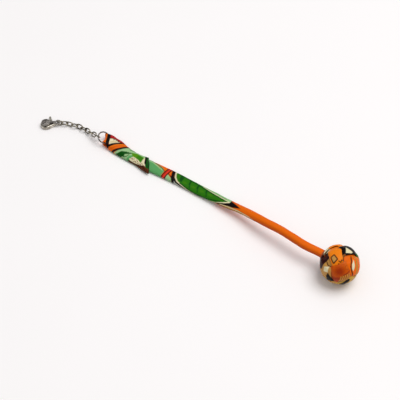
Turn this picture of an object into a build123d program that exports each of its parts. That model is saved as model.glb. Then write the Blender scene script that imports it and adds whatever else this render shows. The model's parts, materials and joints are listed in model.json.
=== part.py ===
"""Ball charm strap: a woven silk ball on a padded silk strap, with a ring, chain, clasp and tag.

The strap lies on a flat surface at z = 0. It leaves the ball level, comes down to the surface and
ends in a fold round the ring. The origin is on the surface, under the middle of the whole piece.
+X runs along the strap towards the ball. Units are millimetres.
"""

import os
from math import cos, radians, sin

from build123d import *

# Ball: a drilled bead under four crossing silk bands
ball_center = Vector(104.4, 2.3, 12.0)
ball_radius = 12.0
bead_radius = 9.2
bead_bore_radius = 2.1
bead_bore_depth = 12.0
bead_end_gap = 0.5
band_count = 4
band_half_angle = 31.0
band_gap = 0.04
band_thickness = (ball_radius - bead_radius) / band_count - band_gap
ball_turn = 24.0

# Strap: a silk sleeve over a soft filler, round at the neck and flat where it lies
silk_thickness = 0.7
filler_gap = 0.1
neck_radius = 2.6
neck_hole_gap = 0.1
# Station: x, y, height, half width, half height
sleeve_stations = [
    (95.1, 2.3, 12.0, 2.6, 2.6),
    (84.2, 1.9, 12.1, 2.6, 2.6),
    (73.2, 2.1, 12.1, 2.6, 2.6),
    (60.8, 2.7, 11.6, 2.6, 2.6),
    (49.0, 3.1, 10.1, 2.6, 2.6),
    (37.2, 4.2, 7.7, 2.65, 2.5),
    (24.2, 4.5, 5.1, 2.9, 2.4),
    (12.2, 4.8, 3.1, 3.5, 2.2),
    (0.2, 4.5, 1.8, 3.85, 2.0),
    (-17.8, 3.7, 1.6, 3.95, 1.9),
    (-31.8, 2.4, 1.5, 4.05, 1.8),
    (-43.8, 1.6, 1.15, 4.1, 1.45),
    (-55.8, 1.0, 1.1, 4.1, 1.4),
    (-66.2, 1.3, 1.1, 4.0, 1.4),
]
fold_stations = [
    (-25.8, 2.8, 1.7, 4.5, 2.5),
    (-43.8, 1.5, 1.7, 4.5, 2.5),
    (-57.8, 1.3, 1.9, 4.6, 2.6),
    (-66.0, 1.7, 2.55, 4.7, 2.75),
    (-70.4, 1.5, 2.95, 3.7, 2.6),
]
layer_height = 1.2
fold_center = Vector(-70.4, 1.1, 2.95)
fold_radius = 2.5
fold_width = 5.8
tail_rear_corner = Vector(-40.3, 6.3)
tail_front_corner = Vector(-33.4, -3.1)
stitch_radius = 0.16
stitch_length = 1.3
stitch_pitch = 3.2
rear_stitch_count = 5
front_stitch_count = 7
stitch_start = -62.0
stitch_inset = 0.94
stitch_rise = 0.45
whipping_wire_radius = 0.2
whipping_turns = 3
whipping_gap = 0.35
whipping_start = 0.4
whipping_pitch = 0.42

# Ring and chain
ring_radius = 3.8
ring_wire = 0.45
ring_tilt = 30.0
ring_hold_angle = 40.0
channel_clearance = 0.12
channel_flat = 0.05
link_pitch = 3.5
link_wire = 0.4
link_arc_radius = 1.4
link_gap = 0.1
first_link_roll = 125.0
last_roll = 180.0
# Each link's heading, from -X towards -Y, and its slope down, in degrees
link_courses = [
    (-10, 22),
    (-12, 19),
    (-10, 16),
    (-6, 9.5),
    (0, 2.5),
    (12, 0),
    (20, 0),
    (18, 0),
    (30, 0),
]
clasp_ring_radius = 1.7
clasp_ring_heading = 40.0

# Clasp, along +x of its own plane, with the lever on its -y side
clasp_heading = 41.5
eye_radius = 1.5
eye_wire = 0.4
clasp_top = 0.5
clasp_thickness = 2.55
head_x = 7.45
head_radius = 3.7
root_x = 2.7
root_radius = 1.45
opening_radius = 2.1
opening_x = 7.6
gate_from = -125.0
gate_to = -20.0
gate_reach = 4.87
lever_reach = 4.72
lever_tip = -55.0
edge_fillet = 0.6
slot_height = 1.4
slot_rear_gap = 0.45
slot_front_gap = 0.3
slot_top = -0.1
lever_thickness = 1.2
lever_inside = opening_radius + 0.2
lever_outside = opening_radius + 1.2
lever_bulge = 0.15
lever_shoulder_angle = -118.0
arm_root = 0.75
arm_shoulder = (1.4, -1.7)
arm_half_width = 0.5
lever_root = (-0.6, -0.8)
lever_heel = (0.75, 0.6)
pivot_x = 3.9
pivot_y = -1.25
pin_radius = 0.45
pin_clearance = 0.05
hub_radius = 1.05
knob_x = 4.9
knob_y = -5.7
knob_radius = 0.75
spring_radius = 0.72
spring_wire = 0.14
spring_recess = 0.1
spring_height = 0.38

# Tag
tag_disc_radius = 2.75
tag_disc_thickness = 0.85
tag_rim = 0.35
tag_recess = 0.15
tag_neck_thickness = 0.4
tag_neck_width = 1.9
tag_eye_hole = 1.15
tag_eye_radius = 1.75
tag_length = 8.1
tag_lift = 38.0
tag_pitch = 0.5
tag_roll = 2.0

os.makedirs("parts", exist_ok=True)


def finish(part, name):
    """Label a finished piece and write it."""
    part.label = name
    export_step(part, f"parts/{name}.step")


def station_planes(stations):
    """Cross planes of the strap, square to the line through each station's neighbours."""
    points = [Vector(x, y, z) for x, y, z, _, _ in stations]
    planes = []
    for index, point in enumerate(points):
        before = points[max(index - 1, 0)]
        after = points[min(index + 1, len(points) - 1)]
        along = (before - after).normalized()
        planes.append(Plane(origin=point, x_dir=Vector(0, 0, 1).cross(along), z_dir=along))
    return planes


def strap_loft(stations, inset=0.0):
    """A lofted oval tube through the stations, inset from their full size."""
    with BuildPart(mode=Mode.PRIVATE) as tube:
        for plane, (_, _, _, half_width, half_height) in zip(station_planes(stations), stations):
            with BuildSketch(plane):
                Ellipse(half_width - inset, half_height - inset)
        loft()
    return tube.part


def heading_vector(heading, slope=0.0):
    """Direction of a chain piece from its heading and its slope down."""
    level = cos(radians(slope))
    return Vector(
        -cos(radians(heading)) * level, -sin(radians(heading)) * level, -sin(radians(slope))
    )


def rolled_plane(origin, direction, roll):
    """Plane of a flat chain piece: x along it, its normal rolled from upright towards -Y."""
    side = Vector(0, 0, 1).cross(direction).normalized()
    upright = direction.cross(side)
    normal = upright * cos(radians(roll)) + side * sin(radians(roll))
    return Plane(origin=origin, x_dir=direction, z_dir=normal)


# ---- Ball ------------------------------------------------------------------------------------
bead_plane = Plane(origin=ball_center, x_dir=(0, 1, 0), z_dir=(1, 0, 0))
with BuildPart(bead_plane) as ball_bead:
    Sphere(bead_radius)
    with Locations((0, 0, -bead_radius)):
        Cylinder(
            bead_bore_radius,
            bead_bore_depth,
            align=(Align.CENTER, Align.CENTER, Align.MIN),
            mode=Mode.SUBTRACT,
        )
finish(ball_bead.part, "ball_bead")


def band_axis(index):
    """Axis of one band: a cube's diagonal, with the strap leaving along the cube's -X face."""
    azimuth = radians(ball_turn + 90.0 * index + 45.0)
    reach = 2**0.5
    return Vector(1, reach * cos(azimuth), reach * sin(azimuth)).normalized()


whipping_radius = neck_radius + whipping_gap + whipping_wire_radius
for band_index in range(band_count):
    inner = bead_radius + band_gap + band_index * (band_thickness + band_gap)
    outer = inner + band_thickness
    band_plane = Plane(origin=ball_center, z_dir=band_axis(band_index))
    with BuildPart(band_plane) as ball_band:
        Sphere(outer, arc_size1=-band_half_angle, arc_size2=band_half_angle)
        Sphere(inner, mode=Mode.SUBTRACT)
        with BuildSketch(Plane(origin=ball_center, x_dir=(0, 1, 0), z_dir=(-1, 0, 0))):
            Circle(whipping_radius + whipping_wire_radius + neck_hole_gap)
        extrude(amount=ball_radius + 1, mode=Mode.SUBTRACT)
    finish(ball_band.part, f"ball_band_{band_index + 1}")

with BuildPart(bead_plane) as neck_whipping:
    for turn in range(whipping_turns):
        with Locations((0, 0, whipping_start - ball_radius + turn * whipping_pitch)):
            Torus(whipping_radius, whipping_wire_radius)
finish(neck_whipping.part, "neck_whipping")

# ---- Strap -----------------------------------------------------------------------------------
sleeve_outside = strap_loft(sleeve_stations)
sleeve_inside = strap_loft(sleeve_stations, silk_thickness)
with BuildPart() as strap_sleeve:
    add(sleeve_outside)
    add(sleeve_inside, mode=Mode.SUBTRACT)
    split(bisect_by=Plane.XY, keep=Keep.TOP)
finish(strap_sleeve.part, "strap_sleeve")

strap_filler = strap_loft(sleeve_stations, silk_thickness + filler_gap)
finish(strap_filler, "strap_filler")

# A round cord carries the strap on into the bead
neck_end = Vector(*sleeve_stations[0][:3])
anchor_start = neck_end + Vector(filler_gap, 0, 0)
with BuildPart() as anchor_cord:
    with BuildSketch(Plane(origin=anchor_start, z_dir=(1, 0, 0))):
        Circle(neck_radius - silk_thickness - filler_gap)
    extrude(amount=bead_bore_depth - bead_end_gap)
finish(anchor_cord.part, "anchor_cord")

with BuildPart() as fold_over_end:
    add(strap_loft(fold_stations))
    with BuildSketch(Plane.XZ.offset(-(fold_center.Y + fold_width / 2))) as fold_roll:
        with Locations((fold_center.X, fold_center.Z)):
            Circle(fold_radius)
    extrude(amount=fold_width)
    # The tail is a single layer lying on the sleeve, open below
    add(sleeve_outside, mode=Mode.SUBTRACT)
    layer_start = sleeve_stations[-1][0]
    layer_length = fold_stations[0][0] - layer_start
    with Locations((layer_start, 0, layer_height)):
        Box(
            layer_length + 1,
            4 * fold_width,
            4 * fold_width,
            align=(Align.MIN, Align.CENTER, Align.MAX),
            mode=Mode.SUBTRACT,
        )
    # Diagonal end of the tail
    across = (tail_front_corner - tail_rear_corner).normalized()
    beyond_tail = Vector(20, 0)
    with BuildSketch(Plane.XY):
        with BuildLine():
            Polyline(
                tail_rear_corner - across * 5,
                tail_front_corner + across * 5,
                tail_front_corner + across * 5 + beyond_tail,
                tail_rear_corner - across * 5 + beyond_tail,
                close=True,
            )
        make_face()
    extrude(amount=4 * fold_width, both=True, mode=Mode.SUBTRACT)
    # Channel that lets the ring swing: the ring's own sweep about the fold's axis
    clear_radius = ring_radius - ring_wire - channel_clearance
    channel_half = clear_radius - channel_flat
    mouth = ring_radius - (clear_radius**2 - channel_half**2) ** 0.5
    with BuildSketch(Plane(origin=fold_center, x_dir=(0, 1, 0), z_dir=(1, 0, 0))):
        with BuildLine():
            ThreePointArc(
                (-channel_half, mouth), (0, ring_radius - clear_radius), (channel_half, mouth)
            )
            Polyline(
                (channel_half, mouth), (channel_half, 0), (-channel_half, 0), (-channel_half, mouth)
            )
        make_face()
    revolve(axis=Axis(fold_center, (0, 1, 0)), mode=Mode.SUBTRACT)
    split(bisect_by=Plane.XY, keep=Keep.TOP)
finish(fold_over_end.part, "fold_over_end")


def tail_edge(x, side):
    """Y of the tail's long edge at x; side is +1 at the rear and -1 at the front."""
    for (x_high, y_high, _, w_high, _), (x_low, y_low, _, w_low, _) in zip(
        fold_stations, fold_stations[1:]
    ):
        if x_low <= x <= x_high:
            share = (x - x_low) / (x_high - x_low)
            middle = y_low + (y_high - y_low) * share
            half_width = w_low + (w_high - w_low) * share
            return middle + side * stitch_inset * half_width


with BuildPart() as seam_stitches:
    for side, stitch_count in ((1, rear_stitch_count), (-1, front_stitch_count)):
        for index in range(stitch_count):
            stitch_x = stitch_start + index * stitch_pitch
            place = Vector(stitch_x, tail_edge(stitch_x, side), layer_height)
            with BuildSketch(Plane(origin=place, z_dir=(1, 0, stitch_rise))):
                Circle(stitch_radius)
            extrude(amount=stitch_length / 2, both=True)
finish(seam_stitches.part, "seam_stitches")

# ---- Ring and chain --------------------------------------------------------------------------
ring_direction = Vector(-cos(radians(ring_tilt)), 0, sin(radians(ring_tilt)))
ring_normal = ring_direction.cross(Vector(0, 1, 0))
ring_plane = Plane(
    origin=fold_center + ring_direction * ring_radius, x_dir=ring_direction, z_dir=ring_normal
)
with BuildPart(ring_plane) as end_ring:
    Torus(ring_radius, ring_wire)
finish(end_ring.part, "end_ring")

# The chain pulls on the ring a little to the front of its far side
joint = (
    ring_plane.origin
    + ring_direction * ring_radius * cos(radians(ring_hold_angle))
    - Vector(0, 1, 0) * ring_radius * sin(radians(ring_hold_angle))
)
held_wire = ring_wire
print("end_ring hinge", fold_center)
for link_index, (heading, slope) in enumerate(link_courses):
    number = link_index + 1
    direction = heading_vector(heading, slope)
    # Each link stands square to the one before, with a little twist shared along the chain
    twist = (last_roll - first_link_roll) * link_index / len(link_courses)
    roll = first_link_roll + twist + (0.0 if number % 2 else 90.0)
    plane = rolled_plane(joint, direction, roll)
    start = -(held_wire + link_wire + link_gap)
    near_arc = start + link_arc_radius
    far_arc = link_pitch - link_arc_radius
    with BuildPart(plane) as chain_link:
        with BuildLine(plane) as loop:
            Line((near_arc, link_arc_radius), (far_arc, link_arc_radius))
            ThreePointArc(
                (far_arc, link_arc_radius), (link_pitch, 0), (far_arc, -link_arc_radius)
            )
            Line((far_arc, -link_arc_radius), (near_arc, -link_arc_radius))
            ThreePointArc(
                (near_arc, -link_arc_radius), (start, 0), (near_arc, link_arc_radius)
            )
        section = Plane(
            origin=plane.from_local_coords(Vector((near_arc + far_arc) / 2, link_arc_radius, 0)),
            z_dir=direction,
        )
        with BuildSketch(section):
            Circle(link_wire)
        sweep(path=loop.wire())
    finish(chain_link.part, f"chain_link_{number}")
    print("chain_link", number, "hinge", joint, "axis", plane.z_dir)
    joint = joint + direction * link_pitch
    held_wire = link_wire

# The ring that the clasp and the tag hang on stands upright
clasp_ring_direction = heading_vector(clasp_ring_heading)
clasp_ring_plane = rolled_plane(joint, clasp_ring_direction, 90.0)
clasp_ring_start = -(2 * link_wire + link_gap)
with BuildPart(clasp_ring_plane) as clasp_ring:
    with Locations((clasp_ring_start + clasp_ring_radius, 0, 0)):
        Torus(clasp_ring_radius, link_wire)
finish(clasp_ring.part, "clasp_ring")
print("clasp_ring hinge", joint, "axis", clasp_ring_plane.z_dir)
clasp_joint = joint + clasp_ring_direction * (clasp_ring_start + 2 * clasp_ring_radius)

# ---- Clasp -----------------------------------------------------------------------------------
clasp_direction = heading_vector(clasp_heading)
clasp_plane = Plane(origin=clasp_joint, x_dir=clasp_direction, z_dir=(0, 0, 1))
clasp_middle = clasp_top - clasp_thickness / 2
eye_center = eye_radius - (link_wire + eye_wire + link_gap)
opening_center = clasp_plane.from_local_coords(Vector(opening_x, 0, clasp_middle))
print("clasp hinge", clasp_joint, "opening", opening_center)


def clasp_level(height):
    """The clasp's plane, moved up or down."""
    return clasp_plane.offset(height)


def polar(angle, radius):
    """A point about the opening's centre, in the clasp's plane."""
    return (opening_x + radius * cos(radians(angle)), radius * sin(radians(angle)))


def from_pivot(x, y):
    """A point from the lever's pivot, in the clasp's plane."""
    return (pivot_x + x, pivot_y + y)


with BuildPart(clasp_plane) as clasp_body:
    with BuildSketch(clasp_level(clasp_top - clasp_thickness)):
        with Locations((head_x, 0)):
            Circle(head_radius)
        with Locations((root_x, 0)):
            Circle(root_radius)
        make_hull()
    extrude(amount=clasp_thickness)
    with BuildSketch(clasp_level(clasp_top - clasp_thickness)):
        with Locations((opening_x, 0)):
            Circle(opening_radius)
    extrude(amount=clasp_thickness, mode=Mode.SUBTRACT)
    with BuildSketch(clasp_level(clasp_top - clasp_thickness)):
        with BuildLine():
            Polyline(
                (opening_x, 0),
                polar(gate_from, 2 * head_radius),
                polar(gate_to, 2 * head_radius),
                close=True,
            )
        make_face()
        # The hook's tip follows the swing of the lever's end
        with Locations((pivot_x, pivot_y)):
            Circle(gate_reach, mode=Mode.INTERSECT)
    extrude(amount=clasp_thickness, mode=Mode.SUBTRACT)
    outer_edges = clasp_body.faces().filter_by(Axis.Z).edges()
    fillet(outer_edges, edge_fillet)
    # Slot for the lever
    with BuildSketch(clasp_level(clasp_middle - slot_height / 2)):
        with BuildLine():
            Polyline(
                (pivot_x - hub_radius - slot_rear_gap, slot_top),
                (pivot_x - hub_radius - slot_rear_gap, -2 * head_radius),
                (2 * head_radius, -2 * head_radius),
                polar(gate_from + 1, head_radius),
                polar(gate_from + 1, opening_radius - slot_front_gap),
                (pivot_x + hub_radius + slot_front_gap, slot_top),
                close=True,
            )
        make_face()
    extrude(amount=slot_height, mode=Mode.SUBTRACT)
    # Pin hole
    with BuildSketch(clasp_level(clasp_top - clasp_thickness)):
        with Locations((pivot_x, pivot_y)):
            Circle(pin_radius)
    extrude(amount=clasp_thickness, mode=Mode.SUBTRACT)
    with Locations((eye_center, 0, 0)):
        Torus(eye_radius, eye_wire)
finish(clasp_body.part, "clasp_body")

with BuildPart(clasp_plane) as clasp_pin:
    with BuildSketch(clasp_level(clasp_top - clasp_thickness)):
        with Locations((pivot_x, pivot_y)):
            Circle(pin_radius)
    extrude(amount=clasp_thickness)
finish(clasp_pin.part, "clasp_pin")

lever_base = clasp_middle - lever_thickness / 2
with BuildPart(clasp_plane) as clasp_lever:
    with BuildSketch(clasp_level(lever_base)):
        with BuildLine():
            Polyline(
                from_pivot(*lever_root),
                from_pivot(*arm_shoulder),
                polar(lever_shoulder_angle, lever_outside),
                polar(-90, lever_outside + lever_bulge),
                polar(lever_tip, lever_outside),
                polar(lever_tip, lever_inside),
                polar(-90, lever_inside),
                polar(gate_from + 1, lever_inside),
                from_pivot(*lever_heel),
                close=True,
            )
        make_face()
        with Locations((pivot_x, pivot_y)):
            Circle(lever_reach, mode=Mode.INTERSECT)
            Circle(hub_radius)
        # Arm of the thumb knob
        with BuildLine():
            Polyline(
                from_pivot(-arm_root, -arm_half_width),
                (knob_x - arm_half_width, knob_y),
                (knob_x + arm_half_width, knob_y),
                from_pivot(*arm_shoulder),
                close=True,
            )
        make_face()
        with Locations((knob_x, knob_y)):
            Circle(knob_radius)
        with Locations((pivot_x, pivot_y)):
            Circle(pin_radius + pin_clearance, mode=Mode.SUBTRACT)
    extrude(amount=lever_thickness)
    # Recess for the spring's turn
    with BuildSketch(clasp_level(clasp_middle + spring_recess)):
        with Locations((pivot_x, pivot_y)):
            Circle(hub_radius)
    extrude(amount=lever_thickness, mode=Mode.SUBTRACT)
finish(clasp_lever.part, "clasp_lever")
print("lever hinge", clasp_plane.from_local_coords(Vector(pivot_x, pivot_y, clasp_middle)))

with BuildPart(clasp_plane) as clasp_spring:
    with Locations((pivot_x, pivot_y, clasp_middle + spring_height)):
        Torus(spring_radius, spring_wire)
finish(clasp_spring.part, "clasp_spring")

# ---- Tag -------------------------------------------------------------------------------------
ring_center = joint + clasp_ring_direction * (clasp_ring_start + clasp_ring_radius)
tag_origin = (
    ring_center
    + clasp_ring_direction * clasp_ring_radius * cos(radians(tag_lift))
    + Vector(0, 0, clasp_ring_radius * sin(radians(tag_lift)))
)
tag_direction = heading_vector(clasp_heading, tag_pitch)
tag_plane = rolled_plane(tag_origin, tag_direction, tag_roll)
with BuildPart(tag_plane) as tag:
    with BuildSketch(tag_plane.offset(-tag_neck_thickness / 2)):
        with Locations((tag_length / 2, 0)):
            Rectangle(tag_length, tag_neck_width)
        Circle(tag_eye_radius)
    extrude(amount=tag_neck_thickness)
    with BuildSketch(tag_plane.offset(-tag_neck_thickness / 2)):
        with Locations((tag_length, 0)):
            Circle(tag_disc_radius)
    extrude(amount=tag_disc_thickness)
    with BuildSketch(tag_plane.offset(tag_disc_thickness - tag_neck_thickness / 2)):
        with Locations((tag_length, 0)):
            Circle(tag_disc_radius - tag_rim)
    extrude(amount=-tag_recess, mode=Mode.SUBTRACT)
    with BuildSketch(tag_plane.offset(-tag_neck_thickness)):
        Circle(tag_eye_hole)
    extrude(amount=2 * tag_neck_thickness, mode=Mode.SUBTRACT)
finish(tag.part, "tag")
print("tag hinge", tag_origin, "axis", tag_plane.z_dir)
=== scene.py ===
"""Looks of the ball charm strap: printed silk, woven ball, thread and polished metal.

Lengths are in millimetres until a mesh is made. Cloth carries two point attributes: "dye", its
printed colour with painted shade and a painted highlight in places, and "cloth", its own flat coordinates
in millimetres, which the weave follows.
"""

import json
from math import atan2, cos, degrees, pi, radians, sin, sqrt

import bpy
import numpy as np
from mathutils import Matrix, Vector, noise


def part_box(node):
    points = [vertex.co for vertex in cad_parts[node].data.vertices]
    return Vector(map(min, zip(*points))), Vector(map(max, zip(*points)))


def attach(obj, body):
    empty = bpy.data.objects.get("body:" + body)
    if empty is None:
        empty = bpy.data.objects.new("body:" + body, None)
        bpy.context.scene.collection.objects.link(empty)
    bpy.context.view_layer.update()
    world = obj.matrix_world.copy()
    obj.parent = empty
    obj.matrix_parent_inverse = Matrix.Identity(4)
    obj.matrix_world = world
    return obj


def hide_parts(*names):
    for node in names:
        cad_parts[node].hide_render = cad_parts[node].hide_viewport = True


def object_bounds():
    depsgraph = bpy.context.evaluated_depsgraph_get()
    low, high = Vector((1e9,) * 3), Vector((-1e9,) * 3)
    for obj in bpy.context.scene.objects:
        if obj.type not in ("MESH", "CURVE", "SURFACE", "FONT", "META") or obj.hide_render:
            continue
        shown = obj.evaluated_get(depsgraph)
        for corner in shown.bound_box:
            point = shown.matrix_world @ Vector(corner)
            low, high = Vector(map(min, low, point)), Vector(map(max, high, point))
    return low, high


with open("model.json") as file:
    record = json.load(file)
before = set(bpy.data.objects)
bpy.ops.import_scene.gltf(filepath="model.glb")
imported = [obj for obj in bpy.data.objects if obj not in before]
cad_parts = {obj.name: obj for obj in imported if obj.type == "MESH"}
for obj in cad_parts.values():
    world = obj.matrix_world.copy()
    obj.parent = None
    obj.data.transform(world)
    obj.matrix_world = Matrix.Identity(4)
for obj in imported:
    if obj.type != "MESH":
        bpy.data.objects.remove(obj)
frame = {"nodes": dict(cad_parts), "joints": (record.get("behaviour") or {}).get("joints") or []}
cad_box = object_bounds()
nodes = frame["nodes"]
joints = {joint["name"]: joint for joint in frame["joints"]}
MM = 0.001

# ---- Colours ---------------------------------------------------------------------------------


def srgb(red, green, blue):
    """Scene-linear colour from 0 to 255 display values."""
    linear = []
    for value in (red, green, blue):
        share = value / 255
        linear.append(share / 12.92 if share <= 0.04045 else ((share + 0.055) / 1.055) ** 2.4)
    return tuple(linear)


ORANGE = srgb(242, 106, 0)
NECK_ORANGE = srgb(236, 100, 12)
BRIGHT_ORANGE = srgb(252, 134, 14)
DEEP_ORANGE = srgb(206, 84, 0)
RED_BROWN = srgb(164, 50, 0)
RED = srgb(214, 34, 14)
CRIMSON = srgb(176, 22, 26)
BLACK = srgb(9, 1, 1)
MAROON = srgb(48, 6, 6)
BROWN = srgb(92, 44, 14)
TAN = srgb(198, 144, 72)
GOLD = srgb(206, 160, 66)
CREAM = srgb(240, 228, 186)
DARK_GREEN = srgb(2, 78, 6)
LEAF_GREEN = srgb(40, 116, 2)
OLIVE = srgb(84, 146, 4)
OLIVE_SHADE = srgb(58, 124, 2)
PALE_GREY = srgb(196, 202, 188)
SAGE = srgb(92, 166, 98)
PALE_GREEN = srgb(158, 200, 142)

# ---- Painting on cloth -----------------------------------------------------------------------


def side_distance(points, path):
    """Distance from each point to a path of straight sides."""
    nearest = np.full(len(points), np.inf)
    for start, end in zip(path, path[1:]):
        start = np.array(start, float)
        side = np.array(end, float) - start
        share = np.clip((points - start) @ side / max(side @ side, 1e-9), 0, 1)
        gap = points - start - share[:, None] * side
        nearest = np.minimum(nearest, np.hypot(gap[:, 0], gap[:, 1]))
    return nearest


def depth_inside(points, corners):
    """Distance inside a polygon, negative outside it."""
    closed = list(corners) + [corners[0]]
    inside = np.zeros(len(points), bool)
    for (x0, y0), (x1, y1) in zip(closed, closed[1:]):
        if y0 == y1:
            continue
        spans = (y0 > points[:, 1]) != (y1 > points[:, 1])
        crossing = x0 + (points[:, 1] - y0) * (x1 - x0) / (y1 - y0)
        inside ^= spans & (points[:, 0] < crossing)
    return side_distance(points, closed) * np.where(inside, 1, -1)


class DyeAndShade:
    """Colours of a cloth's points, painted shape over shape."""

    def __init__(self, points, ground, edge):
        self.points = np.array(points, float)
        self.colours = np.tile(np.array(ground, float), (len(self.points), 1))
        self.edge = edge

    def cover(self, depth, colour):
        mask = np.clip(depth / self.edge + 0.5, 0, 1)[:, None]
        self.colours = self.colours * (1 - mask) + np.array(colour) * mask

    def area(self, colour, *corners, outline=None, width=0.0):
        depth = depth_inside(self.points, corners)
        if outline:
            self.cover(depth + width, outline)
        self.cover(depth, colour)

    def line(self, colour, width, *path):
        self.cover(width / 2 - side_distance(self.points, path), colour)

    def dot(self, colour, radius, *centres):
        for centre in centres:
            self.cover(radius - side_distance(self.points, (centre, centre)), colour)


# ---- Meshes ----------------------------------------------------------------------------------


def new_piece(name, points, faces, material, body):
    """A smooth mesh piece from points in millimetres, riding on a body."""
    mesh = bpy.data.meshes.new(name)
    mesh.from_pydata([tuple(point) for point in np.array(points) * MM], [], faces)
    mesh.validate()
    mesh.update()
    mesh.shade_smooth()
    mesh.materials.append(material)
    piece = bpy.data.objects.new(name, mesh)
    bpy.context.scene.collection.objects.link(piece)
    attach(piece, body)
    return piece


def add_cloth_data(piece, colours, flat):
    """Stores the printed colour, with painted shade and highlight in places, and the flat coordinates of
    a cloth's points.
    """
    count = len(piece.data.vertices)
    dye_and_shade = piece.data.attributes.new("dye_and_shade", "FLOAT_COLOR", "POINT")
    dye_and_shade.data.foreach_set("color", np.hstack([colours, np.ones((count, 1))]).ravel())
    cloth = piece.data.attributes.new("cloth", "FLOAT_VECTOR", "POINT")
    cloth.data.foreach_set("vector", np.hstack([flat, np.zeros((count, 1))]).ravel())


def ring_faces(ring_count, ring_size, closed=False):
    """Faces between rings of points; closed joins the last ring to the first."""
    faces = []
    last = ring_count if closed else ring_count - 1
    for ring in range(last):
        here = ring * ring_size
        there = (ring + 1) % ring_count * ring_size
        for index in range(ring_size):
            beside = (index + 1) % ring_size
            faces.append((here + index, here + beside, there + beside, there + index))
    return faces


def grain(point, size, seed=0.0):
    """Smooth noise from -1 to 1 at a place in millimetres."""
    return noise.noise(Vector(point) / size + Vector((seed, seed * 1.7, seed * 0.3)))


def smooth(share):
    share = np.clip(share, 0, 1)
    return share * share * (3 - 2 * share)


# ---- Materials -------------------------------------------------------------------------------


class Shader:
    """A node material with one Principled shader."""

    def __init__(self, name, **settings):
        self.material = bpy.data.materials.new(name)
        self.material.use_nodes = True
        self.tree = self.material.node_tree
        self.principled = self.tree.nodes["Principled BSDF"]
        for socket, value in settings.items():
            self.principled.inputs[socket.replace("_", " ")].default_value = value

    def node(self, kind, **properties):
        made = self.tree.nodes.new("ShaderNode" + kind)
        for name, value in properties.items():
            setattr(made, name, value)
        return made

    def link(self, source, target):
        self.tree.links.new(source, target)

    def noise(self, scale, detail=3.0, vector=None):
        made = self.node("TexNoise")
        made.inputs["Scale"].default_value = scale
        made.inputs["Detail"].default_value = detail
        if vector is None:
            vector = self.node("TexCoord").outputs["Object"]
        self.link(vector, made.inputs["Vector"])
        return made.outputs["Fac"]

    def ramp(self, value, *stops):
        made = self.node("ValToRGB")
        elements = made.color_ramp.elements
        while len(elements) < len(stops):
            elements.new(0.5)
        for element, (position, colour) in zip(elements, stops):
            element.position = position
            element.color = (*colour, 1)
        self.link(value, made.inputs["Fac"])
        return made.outputs["Color"]

    def math(self, operation, first, second=None):
        made = self.node("Math", operation=operation)
        for socket, value in zip(made.inputs, (first, second)):
            if value is None:
                continue
            if isinstance(value, (int, float)):
                socket.default_value = value
            else:
                self.link(value, socket)
        return made.outputs["Value"]

    def mix(self, factor, first, second, blend="MIX"):
        made = self.node("Mix", data_type="RGBA", blend_type=blend)
        colour_sockets = (made.inputs[0], made.inputs[6], made.inputs[7])
        for socket, value in zip(colour_sockets, (factor, first, second)):
            if isinstance(value, (int, float)):
                socket.default_value = value
            elif isinstance(value, tuple):
                socket.default_value = (*value, 1)
            else:
                self.link(value, socket)
        return made.outputs[2]

    def bump(self, height, strength, distance):
        made = self.node("Bump")
        made.inputs["Strength"].default_value = strength
        made.inputs["Distance"].default_value = distance
        self.link(height, made.inputs["Height"])
        self.link(made.outputs["Normal"], self.principled.inputs["Normal"])


def silk_material(name, roughness):
    """Printed satin-weave silk: dyed colour with painted shade and highlight in places, slanted threads,
    slubs and a soft sheen.
    """
    shader = Shader(name, Roughness=roughness, Sheen_Weight=0.02, Sheen_Roughness=0.4)
    shader.principled.inputs["Specular IOR Level"].default_value = 0.1
    dye_and_shade = shader.node("Attribute", attribute_name="dye_and_shade").outputs["Color"]
    cloth = shader.node("Attribute", attribute_name="cloth").outputs["Vector"]
    thread_pitch = 0.22
    twill = shader.node("TexWave", wave_type="BANDS", bands_direction="DIAGONAL")
    twill.inputs["Scale"].default_value = 0.31 / thread_pitch
    twill.inputs["Distortion"].default_value = 0.6
    twill.inputs["Detail"].default_value = 1.0
    shader.link(cloth, twill.inputs["Vector"])
    slub = shader.noise(1.6, 2.0, cloth)
    patchy = shader.math("MULTIPLY", shader.noise(0.22, 2.0, cloth), 0.10)
    worn = shader.mix(patchy, dye_and_shade, srgb(250, 226, 190), "SOFT_LIGHT")
    threads = shader.ramp(twill.outputs["Fac"], (0.15, (0.84, 0.84, 0.84)), (0.7, (1.0, 1.0, 1.0)))
    shaded = shader.mix(0.55, worn, threads, "MULTIPLY")
    slubbed = shader.mix(shader.math("MULTIPLY", slub, 0.12), shaded, BLACK)
    shader.link(slubbed, shader.principled.inputs["Base Color"])
    height = shader.math("ADD", shader.math("MULTIPLY", twill.outputs["Fac"], 0.6), slub)
    shader.bump(height, 0.35, 0.00008)
    return shader.material


def thread_material(name, colour):
    """Twisted sewing thread with a fibrous surface."""
    shader = Shader(name, Roughness=0.75, Sheen_Weight=0.3)
    fibre = shader.noise(2600, 2.0)
    shade = tuple(0.55 * channel for channel in colour)
    shader.link(shader.ramp(fibre, (0.3, shade), (0.7, colour)), shader.principled.inputs["Base Color"])
    shader.bump(fibre, 0.4, 0.00005)
    return shader.material


def metal_material(name, light, dark, roughness, pitting=0.15):
    """Polished warm-grey metal with fine scratches and tarnish in patches."""
    shader = Shader(name, Metallic=1.0)
    tarnish = shader.noise(420, 4.0)
    scratch = shader.noise(5200, 2.0)
    shader.link(shader.ramp(tarnish, (0.32, dark), (0.62, light)), shader.principled.inputs["Base Color"])
    spread = shader.math("ADD", shader.math("MULTIPLY", scratch, 0.16), roughness - 0.08)
    shader.link(spread, shader.principled.inputs["Roughness"])
    shader.bump(scratch, pitting, 0.00003)
    return shader.material


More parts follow.
